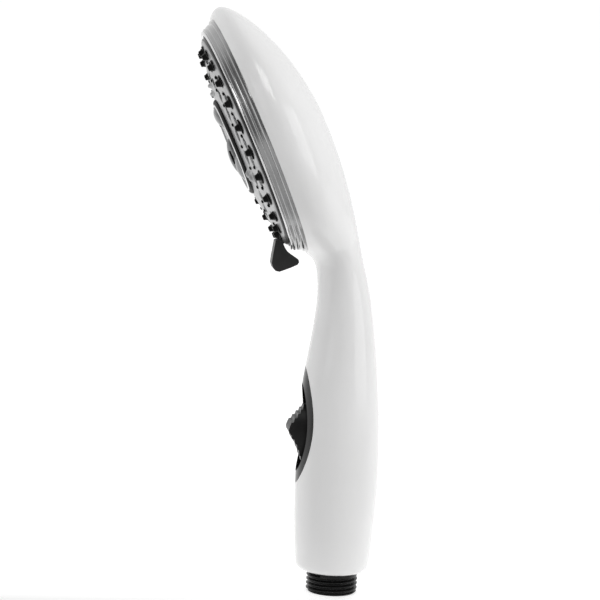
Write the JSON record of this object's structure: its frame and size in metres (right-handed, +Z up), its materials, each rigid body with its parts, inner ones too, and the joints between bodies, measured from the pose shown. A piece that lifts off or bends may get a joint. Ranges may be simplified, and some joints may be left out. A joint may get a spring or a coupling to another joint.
{
  "type": "handheld shower head",
  "caption": "Handheld shower head with a one-piece handle, thumb slider for the flow, and a turning domed spray face worked by a small lever.",
  "frame": {"origin": "centre of the hose thread's open end", "axes": "+Z up the thread's axis and the handle, -Y the side the spray face looks to (tilted 25 degrees down), X across the handle"},
  "size_m": [0.1068, 0.0818, 0.2346],
  "materials": {
    "casing_white": "glossy moulded white plastic",
    "fitting_black": "satin black moulded fitting",
    "gloss_black": "polished black plastic",
    "slider_black": "satin black, fine texture",
    "lever_black": "satin black",
    "ring_chrome": "bright plated plastic",
    "face_silver": "satin silver, plated plastic",
    "disc_silver": "satin silver",
    "nozzle_rubber": "soft black nozzles",
    "seal_rubber": "black seal rubber",
    "inner_plastic": "unpainted moulded plastic",
    "screw_steel": "stainless",
    "mesh_steel": "stainless strainer"
  },
  "bodies": {
    "handset": {"handle_shell": "casing_white", "inlet_connector": "fitting_black", "inlet_o_ring": "seal_rubber", "inlet_filter": "mesh_steel", "flow_restrictor": "inner_plastic", "valve_body": "inner_plastic", "switch_plate": "gloss_black", "riser_tube": "inner_plastic", "riser_seals": "seal_rubber", "spray_core": "inner_plastic", "core_screws": "screw_steel", "outlet_seal": "seal_rubber", "seal_spring": "screw_steel", "detent_ball": "screw_steel", "detent_spring": "screw_steel", "bezel_ring": "ring_chrome", "pivot_screw": "screw_steel", "pivot_washer": "screw_steel"},
    "switch": {"thumb_slider": "slider_black", "valve_spool": "inner_plastic", "spool_o_rings": "seal_rubber"},
    "dial": {"dial_manifold": "inner_plastic", "dial_seal": "seal_rubber", "face_screws": "screw_steel", "face_plate": "face_silver", "nozzle_mat": "nozzle_rubber", "inner_nozzle_mat": "nozzle_rubber", "selector_lever": "lever_black", "centre_ring": "gloss_black", "centre_disc": "disc_silver", "centre_jets": "nozzle_rubber", "turbine_cup": "inner_plastic", "turbine_pin": "screw_steel"},
    "turbine": {"turbine_wheel": "inner_plastic"}
  },
  "joints": [
    {"name": "face_turn", "type": "hinge", "parent": "handset", "child": "dial", "pos_m": [0, -0.0442, 0.1818], "axis": [0, -0.9048, -0.4258], "range_deg": [-60, 60]},
    {"name": "switch_slide", "type": "slide", "parent": "handset", "child": "switch", "axis": [0, 0, 1], "range_m": [-0.0035, 0.0035]},
    {"name": "turbine_spin", "type": "hinge", "parent": "dial", "child": "turbine", "pos_m": [0, -0.0442, 0.1818], "axis": [0, -0.9048, -0.4258], "continuous": true}
  ]
}
